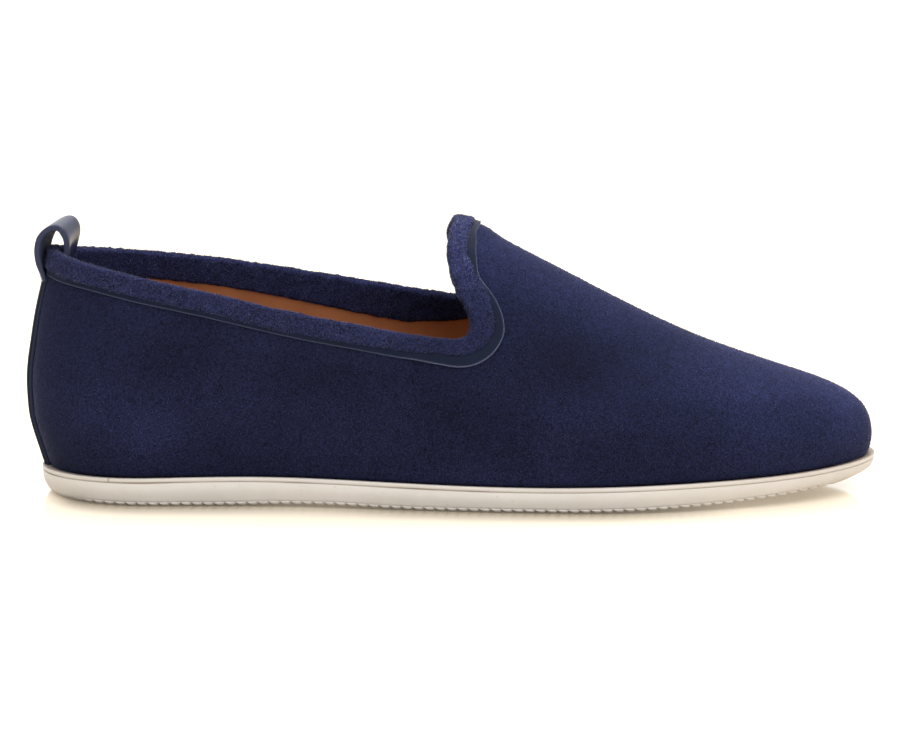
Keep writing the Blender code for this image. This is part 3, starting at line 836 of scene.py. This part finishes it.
def make_fibres(name, surface, out, shade, hairs, finish):
    """Loose nap: thin closed spikes set on random places of a grid, as many to each piece of its area,
    leaning over at random, a few of them longer. A spike is a small triangle at its foot and a tip at
    its length, and its tone is random and follows the shade, which carries the surface's painted light and
    shade."""
    draw = np.random.default_rng(hairs["seed"])
    count = hairs["count"]
    across = surface.shape[1]
    down = surface[1:] - surface[:-1]
    beside = (np.roll(surface, -1, axis=1) - surface)[:-1]
    area = np.cumsum(np.linalg.norm(np.cross(down, beside), axis=-1))
    i, j = np.divmod(np.searchsorted(area / area[-1], draw.random(count)), across)
    u = draw.random((count, 1))
    v = draw.random((count, 1))
    k = (j + 1) % across
    low = surface[i, j] * (1 - v) + surface[i, k] * v
    high = surface[i + 1, j] * (1 - v) + surface[i + 1, k] * v
    foot = low * (1 - u) + high * u
    way = out[i, j]
    side = unit(np.cross(way, draw.normal(size=(count, 3))))
    lean = draw.uniform(0.1, 1.5, (count, 1))
    tip_way = unit(way + side * lean)
    across_way = unit(np.cross(tip_way, way))
    reach = hairs["length"] * (draw.uniform(0.5, 1.1, (count, 1)) + 0.9 * draw.random((count, 1)) ** 6)
    sink = foot - way * 0.1 * MM
    thick = hairs["width"] * draw.uniform(0.7, 1.3, (count, 1))
    points = np.stack([
        sink + across_way * thick / 2,
        sink - across_way * thick / 2,
        sink + way * thick,
        sink + tip_way * reach,
    ], axis=1)
    corners = np.array([(0, 1, 2), (0, 2, 3), (2, 1, 3), (1, 0, 3)])
    faces = (4 * np.arange(count)[:, None, None] + corners).reshape(-1, 3)
    # Painted light: spikes are lighter where the shade below them is lighter
    tone = np.repeat(draw.random(count) ** 2 * np.clip(0.5 + shade[i, j], 0, None), 4)
    piece(name, points, faces, finish, marks={"tone": tone})


def make_piping(finish):
    """Thin leather edge below the binding: a flat strip with a rounded raw edge at its outer border, open
    under the loop. Gives the raw edge round the throat as a grid, there and back, and its way out."""
    ring = collar_ring(BAND_ROUND)
    top = ring["binding"] - PIPING_LAP
    bottom = ring["piping"] + 0.12 * MM * waves(ring["edge"], 5 * MM, seed=9)
    share = np.array([0, 0.5, 0.8, 0.9, 0.95, 1.0])
    height = np.array([0.75, 0.8, 0.8, 0.78, 0.7, 0.45]) * MM
    rows = [lifted(below(ring, top + s * (bottom - top)), GAP * 0.3 + h) for s, h in zip(share, height)]
    floor = [lifted(below(ring, top + s * (bottom - top)), -0.1 * MM) for s in (1.0, 0.0)]
    points = np.array(rows + floor).transpose(1, 0, 2)
    band = (bottom - top)[:, None] * (1 - np.array([*share, 1.0, 0.0]))
    throat = soft_ramp(ring["edge"][:, :1], THROAT_START, 0)
    edge = (0.5 + 0.5 * throat) * (1 - soft_ramp(band, 0.15 * MM, (0.4 + 0.1 * throat) * MM))
    clear = (np.abs(points[:, 2, 1] - HEEL_CENTRE) > LOOP_WIDTH / 2 - MM) | (points[:, 2, 0] > 0)
    points = points[clear]
    count, across = points.shape[:2]
    faces = grid_quads(count, across, tube=True)
    caps = np.array([[0, 1, 6, 7], [1, 2, 5, 6], [2, 3, 4, 5]])
    faces = np.concatenate([faces, caps, caps + (count - 1) * across])
    piece("piping_leather", points, faces, finish, ["collar_piping"],
          {"edge": edge[clear]})
    pale = points[:, 5, 0] > THROAT_START
    frayed = points[pale, 3:6].transpose(1, 0, 2)
    out = ring["out"][clear][pale] + np.zeros((3, 1, 1))
    return [np.concatenate([side, side[:, ::-1]], axis=1) for side in (frayed, out)]


def capped_tube(points):
    """Quads of an open row of closed sections, with each end closed by quads across it."""
    rows, across, _ = points.shape
    j = np.arange(across // 2 - 1)
    cap = np.stack([j, j + 1, across - 2 - j, across - 1 - j], axis=-1)
    return np.concatenate([grid_quads(rows, across, tube=True), cap, cap + (rows - 1) * across])


def make_heel_strip(finish):
    """Leather strip over the back seam: the last's surface at the heel, crowned and with rounded edges."""
    z = np.linspace(feather_height(np.zeros(1))[0] + 0.1 * MM, STRIP_TOP + STRIP_LAP, 90)[:, None]
    across = np.sin(np.linspace(-1, 1, 15) * math.pi / 2)
    turn = STRIP_HALF_WIDTH / np.linalg.norm(slopes(0 * z, z)[0], axis=-1)
    place = (across * turn, z + 0 * across)
    thick = np.interp(z, (STRIP_TOP - STRIP_TAPER, STRIP_TOP), (STRIP_THICKNESS, STRIP_TIP_THICKNESS))
    crown = GAP + thick * (0.25 + 0.75 * np.sqrt(1 - across ** 6))
    back = last(*place)
    points = np.concatenate([back, lifted(place, crown[..., None])[:, ::-1]], axis=1)
    edge = soft_ramp(np.abs(np.concatenate([across, across[::-1]])), 0.93, 0.99) + 0 * z
    piece("heel_strip_leather", points, capped_tube(points), finish, ["heel_strip"],
          {"edge": 0.3 * edge})


def make_pull_loop(finish):
    """Leather strap over the collar: a rounded flat section carried along the loop's curve, lying round
    the heel at both ends and skewed where it is free."""
    x = side_view("back", loop["height"] * MM) - loop["out"] * MM
    path = np.column_stack([x, loop["height"] * MM])
    row = lengths(path)
    at = np.linspace(0, row[-1], LOOP_ROWS)
    path = np.column_stack([spline(row, path[:, 0], at), spline(row, path[:, 1], at)])
    free = np.interp(at, row, loop["free"])[:, None]
    ahead = unit(np.gradient(path, axis=0))
    across = np.sin(np.linspace(-1, 1, 17) * math.pi / 2)
    skew = LOOP_SKEW * free
    width = np.stack([np.sin(skew), np.cos(skew), np.sin(LOOP_TILT * free)], axis=-1)
    middle = np.stack([path[:, 0], np.full(LOOP_ROWS, HEEL_CENTRE), path[:, 1]], axis=-1)[:, None]
    strap = middle + width * (across * LOOP_WIDTH / 2)[:, None]
    strap[..., 0] += LOOP_BOW * (1 - free) * across ** 2
    tip = np.interp(at, (0, LOOP_TIP), (LOOP_TIP_SHARE, 1))[:, None]
    face = (np.stack([-ahead[:, 1], np.zeros(LOOP_ROWS), ahead[:, 0]], axis=-1) * tip)[:, None]
    edge_round = (0.55 + 0.45 * np.sqrt(1 - across ** 10))[:, None]
    outer = strap + face * LOOP_OUTER * edge_round
    inner = strap - face * LOOP_INNER * edge_round
    points = np.concatenate([outer, inner[:, ::-1]], axis=1)
    inside = np.concatenate([soft_ramp(np.abs(across), 0.97, 1.0), np.ones(len(across))]) + 0 * at[:, None]
    piece("pull_loop_leather", points, capped_tube(points), finish, ["pull_loop"],
          {"inside": inside, "edge": 0 * inside})


def sole_angles(count):
    """Angles from heel to toe whose points lie at even steps along the sole, closer at its two ends."""
    t = np.linspace(0, 1, count)
    share = 0.86 * t + 0.07 * (1 - np.cos(math.pi * t))
    return np.arccos(1 - 2 * np.clip(share, 0, 1))


def sole_edge(theta, side, heel, toe):
    """Outline of the sole in plan at theta: the feather line moved out by margins in millimetres."""
    return last(theta, feather_height(theta), side * MM, heel * MM, toe * MM)[..., :2]


def rib_share(x):
    """1 along the ribbed tread, fading to 0 where it ends at heel and toe."""
    heel = soft_ramp(x, FIRST_GROOVE, FIRST_GROOVE + 16 * MM)
    return heel * (1 - soft_ramp(x, LAST_GROOVE - 14 * MM, LAST_GROOVE))


def tooth(x, lean):
    """Rounded tooth over one rib: 0 in the notch and 1 on its back, leaning to the heel as it rises."""
    phase = np.mod((x - FIRST_GROOVE + lean) / RIB_PITCH, 1)
    back = np.sqrt(np.clip(1 - np.abs(2 * phase - 1) ** 2.6, 0, 1))
    return 1 - (1 - back) * rib_share(x)


def seam_soil(x):
    """Dirt along the welt's seam: bell curves along the shoe from the table, from 0 to 1."""
    total = 0 * x
    for place, long, depth in SEAM_SOIL:
        total = total + depth * np.exp(-((x / MM - place) / long) ** 2)
    return np.clip(total, 0, 1)


def painted_end_shade(x, table):
    """How much painted shade darkens the rubber at x: the sum of the table's ramps."""
    return sum(share * soft_ramp(x, start * MM, end * MM) for share, start, end in table)


def sole_half(theta):
    """One side of the outsole from its top down to the tread, and its dirt and painted shade: the side
    table's curve in fine levels, with a rounded top edge, and the ends of the ribs as a row of leaning
    teeth along the bottom."""
    high = [1.0, 0.995, 0.98, 0.94, *np.linspace(0.88, 0.34, 9)]
    levels = np.array([*high, *np.linspace(0.30, 0.0, 13)])
    rows = []
    dirt_and_shade = []
    for level in levels:
        margin = [spline(sole_side["level"], sole_side[name], level) for name in ("side", "heel", "toe")]
        corner = 0.35 * (1 - rounding((1 - level) / 0.04 + 0.15))
        flat = sole_edge(theta, *[m - corner for m in margin])
        x = flat[:, 0]
        low = sole_bottom(x)
        rise = level * (outsole_top(x) - low)
        q = np.clip(rise / TOOTH_HEIGHT, 0, 1)
        bite = 1 - tooth(x, TOOTH_LEAN * q)
        inside = soft_ramp(q, 1.0, 0.85)
        ribbed = rib_share(x)
        groove = TOOTH_GROOVE * ribbed * np.exp(-((rise - TOOTH_HEIGHT) / (0.2 * MM)) ** 2)
        bead = TOOTH_BEAD * ribbed * np.sqrt(q * (1 - q)) * inside
        flat = sole_edge(theta, *[m - corner - groove + bead - TOOTH_BITE * bite * inside for m in margin])
        lift = TOOTH_LIFT * bite * (1 - q)
        rows.append(np.column_stack([flat, low + rise + lift]))
        seam = soft_ramp(level, 0.93, 1.0) * (0.2 + 0.6 * seam_soil(x))
        # Painted shade in the notches and in the groove above the teeth, dirt along the seam, painted shade
        # toward the ends
        dirt_and_shade.append(0.15 * bite * inside + 0.6 * groove + seam + painted_end_shade(x, SOLE_END_SHADE))
    return np.array(rows), np.array(dirt_and_shade)


def make_outsole(finish):
    """Rubber outsole: down the outer side, straight across the tread, and up the inner side."""
    theta = sole_angles(SOLE_COLUMNS)
    outer, dirt_and_shade_outer = sole_half(theta)
    inner, dirt_and_shade_inner = sole_half(2 * math.pi - theta)
    share = np.linspace(0, 1, 8)[1:-1, None, None]
    tread = outer[-1] + share * (inner[-1] - outer[-1])
    top = outer[0] + share[::-1] * (inner[0] - outer[0])
    points = np.concatenate([outer, tread, inner[::-1], top]).transpose(1, 0, 2)
    dirt_and_shade_tread = 0 * tread[..., 0] + dirt_and_shade_outer[-1]
    dirt_and_shade = np.concatenate([dirt_and_shade_outer, dirt_and_shade_tread, dirt_and_shade_inner[::-1], 0 * top[..., 0]])
    faces = grid_quads(*points.shape[:2], tube=True)
    piece("outsole_rubber", points, faces, finish, ["outsole"], {"dirt_and_shade": dirt_and_shade.T})


def welt_dirt_and_shade(x, across):
    """Dirt and painted shade of the welt at x, up its section, with its back rows last: dirt in its seam
    where the table says, and painted shade over its face and top, more toward both ends."""
    seam = np.zeros(across)
    seam[: len(WELT_SEAM_SOIL)] = WELT_SEAM_SOIL
    # Painted shade over the welt's face, stronger over its top where it meets the suede
    wear_and_shade = np.full(across, WELT_FACE_SHADE)
    wear_and_shade[-1 - len(WELT_TOP_SHADE) : -1] = WELT_TOP_SHADE
    return seam * (0.25 + 0.75 * seam_soil(x)) + wear_and_shade * (1 + painted_end_shade(x, WELT_END_SHADE))


def make_welt(finish):
    """Rubber strip on the rim of the outsole: a rounded section carried round it, with its butt joint
    as a fine notch on the outer side near the heel."""
    theta = np.linspace(0, 2 * math.pi, WELT_ROUND, endpoint=False)
    angle = np.linspace(-0.5, 0.5, 13) * math.pi
    place = sole_edge(theta, *WELT_MARGIN)
    notch = np.exp(-((place[:, 0] - WELT_JOINT_X) / (0.22 * MM)) ** 2) * (place[:, 1] < 0)
    rows = []
    for a in angle:
        round_out = 0.45 * abs(math.cos(a)) ** 0.6 - 0.3
        flat = sole_edge(theta, *[margin + round_out - 0.3 * notch for margin in WELT_MARGIN])
        low = outsole_top(flat[:, 0]) + 0.06 * MM
        high = feather_top(flat[:, 0]) + 0.05 * MM
        rows.append(np.column_stack([flat, low + (0.5 + 0.5 * math.sin(a)) * (high - low)]))
    for top in (True, False):
        flat = sole_edge(theta, *WELT_BACK)
        height = feather_top(flat[:, 0]) - GAP if top else outsole_top(flat[:, 0]) + 0.05 * MM
        rows.append(np.column_stack([flat, height]))
    points = np.array(rows).transpose(1, 0, 2)
    dirt_and_shade = np.clip(0.8 * notch[:, None] + welt_dirt_and_shade(place[:, :1], points.shape[1]), 0, 1)
    faces = grid_quads(*points.shape[:2], ring=True, tube=True)
    piece("welt_rubber", points, faces, finish, ["welt"], {"dirt_and_shade": dirt_and_shade})


def make_insole(finish):
    """Leather sock: the sole's outline moved in, its top slightly dished and rounded down at the rim."""
    theta = sole_angles(INSOLE_COLUMNS)
    outer = sole_edge(theta, *INSOLE_MARGIN)
    inner = sole_edge(-theta, *INSOLE_MARGIN)
    rows = []
    for t in np.sin(np.linspace(-1, 1, 41) * math.pi / 2):
        flat = (1 - t) / 2 * outer + (1 + t) / 2 * inner
        rim = 1 - np.sqrt(1 - min(abs(t), 1) ** 12)
        dish = INSOLE_DISH * (1 - t * t)
        height = feather_top(flat[:, 0]) + INSOLE_ABOVE_WELT - dish - INSOLE_RIM * rim
        rows.append(np.column_stack([flat, height]))
    for t in np.linspace(1, -1, 9):
        flat = (1 - t) / 2 * outer + (1 + t) / 2 * inner
        rows.append(np.column_stack([flat, outsole_top(flat[:, 0]) - 0.4 * MM]))
    points = np.array(rows).transpose(1, 0, 2)
    faces = grid_quads(*points.shape[:2], tube=True)
    piece("insole_leather", points, faces, finish, ["insole"])


def floor_finish():
    """White paper on a light table: warm, with a faint glow, a mirror of the sole where it is glossy, and a
    brown rim where the sole rests, a painted contact shadow where the glow is dimmed too."""
    made, tree, shader, _ = start_material(
        "paper_floor", {"Roughness": 0.1, "Emission Color": srgb("#FFF0D8")})
    shine = add(tree, "Attribute", output="Fac", attribute_name="gloss")
    rim = add(tree, "Attribute", output="Fac", attribute_name="rim")
    # Painted contact shadow: brown paper and less glow on the rim
    paper = add(tree, "Mix", {0: rim, 6: srgb("#D2C9B8"), 7: srgb("#54401C")}, 2, data_type="RGBA")
    glow = add(tree, "Math", {0: rim, 1: -FLOOR_GLOW, 2: FLOOR_GLOW}, operation="MULTIPLY_ADD")
    set_inputs(tree, shader, {"Base Color": paper, "Specular IOR Level": shine, "Emission Strength": glow})
    return made


def make_floor():
    """Paper floor: a flat grid, fine near the shoe. Its gloss and the dark rim where the sole rests on it,
    a painted contact shadow, are ramps of the distance from the sole's outline, and the rim fades as the
    sole lifts off."""
    reach = 6.0
    x = np.concatenate([[-reach], np.linspace(-220, 220, 221) * MM, [reach]])
    y = np.concatenate([[-reach], np.linspace(-130, 130, 131) * MM, [reach]])
    points = np.stack([*np.meshgrid(x, y, indexing="ij"), np.full((len(x), len(y)), FLOOR_Z)], axis=-1)
    half = np.linspace(0, math.pi, 400)
    outer = sole_edge(half, *FLOOR_EDGE)
    inner = sole_edge(-half, *FLOOR_EDGE)
    beyond = np.maximum(outer[0, 0] - x, x - outer[-1, 0])[:, None]
    beside = np.maximum(np.interp(x, *outer.T)[:, None] - y, y - np.interp(x, *inner.T)[:, None])
    away = np.hypot(np.maximum(beyond, 0), np.maximum(beside, 0))
    touch = (1 - ramp(sole_bottom(x), 0, RIM_GAP))[:, None] * (1 - soft_ramp(beyond, *RIM_FADE))
    marks = {"gloss": FLOOR_GLOSS * (1 - soft_ramp(away, 0, FLOOR_MIRROR)),
             "rim": RIM_SHADE * (1 - soft_ramp(away, 0, RIM_WIDTH)) * touch}
    mesh = new_mesh("studio_floor", points, grid_quads(len(x), len(y)), floor_finish(), marks)
    floor = new_object("studio_floor", mesh)


def make_light(name, kind, place, aim, size, power):
    """Softbox, or an even sky of lamps when its kind is SUN, at a place and turned to shine on its aim."""
    data = bpy.data.lights.new(name, kind)
    data.energy = power
    if kind == "SUN":
        data.angle = size
    else:
        data.size = size
    lamp = new_object(name, data)
    lamp.location = place
    way = np.array(aim) - np.array(place)
    flat = math.hypot(way[0], way[1])
    lamp.rotation_euler = (math.atan2(flat, -way[2]), 0, math.atan2(way[1], way[0]) - math.pi / 2)


def make_studio():
    """White dome, brighter overhead and behind, even soft lamps above and a weak low softbox in front."""
    world = bpy.data.worlds.new("studio")
    world.use_nodes = True
    tree = world.node_tree
    way = add(tree, "TexCoord", output="Generated")
    up = add(tree, "SeparateXYZ", {0: way}, "Z")
    behind = add(tree, "SeparateXYZ", {0: way}, "Y")
    dome = add(tree, "MapRange", {0: up, 1: 0.0, 2: 0.9, 3: 0.45, 4: 1.5})
    wall = add(tree, "MapRange", {0: behind, 1: 0.3, 2: 1.0, 3: 0.0, 4: 0.9})
    strength = add(tree, "Math", {0: dome, 1: wall}, operation="ADD")
    set_inputs(tree, tree.nodes["Background"], {"Color": (1, 1, 1, 1), "Strength": strength})
    bpy.context.scene.world = world
    bpy.context.scene.view_settings.view_transform = "Standard"
    make_light("top_lamps", "SUN", (0.2, 0.1, 1.0), (0, 0, 0), math.radians(90), 3.0)
    make_light("front_softbox", "AREA", (0.5, -1.3, 0.25), (0, 0, 0.04), 0.9, 5)


def make_camera():
    """Camera level with the collar on the outer side, a little above, far off with a long lens."""
    distance = 1.4
    elevation = math.radians(9)
    aim = np.array([-0.6, 0.0, 41.2]) * MM
    data = bpy.data.cameras.new("camera")
    data.sensor_fit = "HORIZONTAL"
    data.sensor_width = 36
    data.lens = 163.74
    camera = new_object("camera", data)
    camera.location = aim + distance * np.array([0, -math.cos(elevation), math.sin(elevation)])
    camera.rotation_euler = (math.pi / 2 - elevation, 0, 0)
    bpy.context.scene.camera = camera


def main():
    """Camera and studio, the finishes, then the pieces from the sole up."""
    make_camera()
    make_studio()
    make_floor()
    suede = suede_finish("navy_calf_suede", "#0A0C1A", "#202443", 0.66 * MM, 0.30)
    band = suede_finish("rough_navy_suede", "#090C1E", "#30345C", 0.65 * MM, 0.14)
    leather = smooth_leather_finish("slate_edge_leather", "#0E1323", "#151B2E", 0.05, 0.5)
    strip = smooth_leather_finish("slate_strip_leather", "#0A0D19", "#0E1222", 0.02, 0.5)
    strap = smooth_leather_finish("slate_strap_leather", "#13182F", "#1D2440", 0.29, 0.3)
    tan = lining_finish()
    rubber = rubber_finish()
    make_outsole(rubber)
    make_welt(rubber)
    make_insole(tan)
    surface, out = make_upper(suede)
    # Upper hairs follow the suede's nap tone and painted light
    make_fibres("upper_nap", surface, out, nap_tone_and_painted_light(surface, out[..., 2]), UPPER_HAIRS,
                fibre_finish("upper_fibres", "#0E1122", "#4E5484"))
    make_lining(tan)
    surface, out = make_binding(band)
    # Band hairs follow the band's painted light and shade
    make_fibres("binding_nap", surface, out, 0.6 * band_painted_light_and_shade(surface), BAND_HAIRS,
                fibre_finish("band_fibres", "#070A1C", "#969BCC"))
    surface, out = make_piping(leather)
    make_fibres("piping_fray", surface, out, 0 * out[..., 0], EDGE_HAIRS,
                fibre_finish("raw_edge_fibres", "#2A3048", "#9298B4"))
    make_heel_strip(strip)
    make_pull_loop(strap)


main()
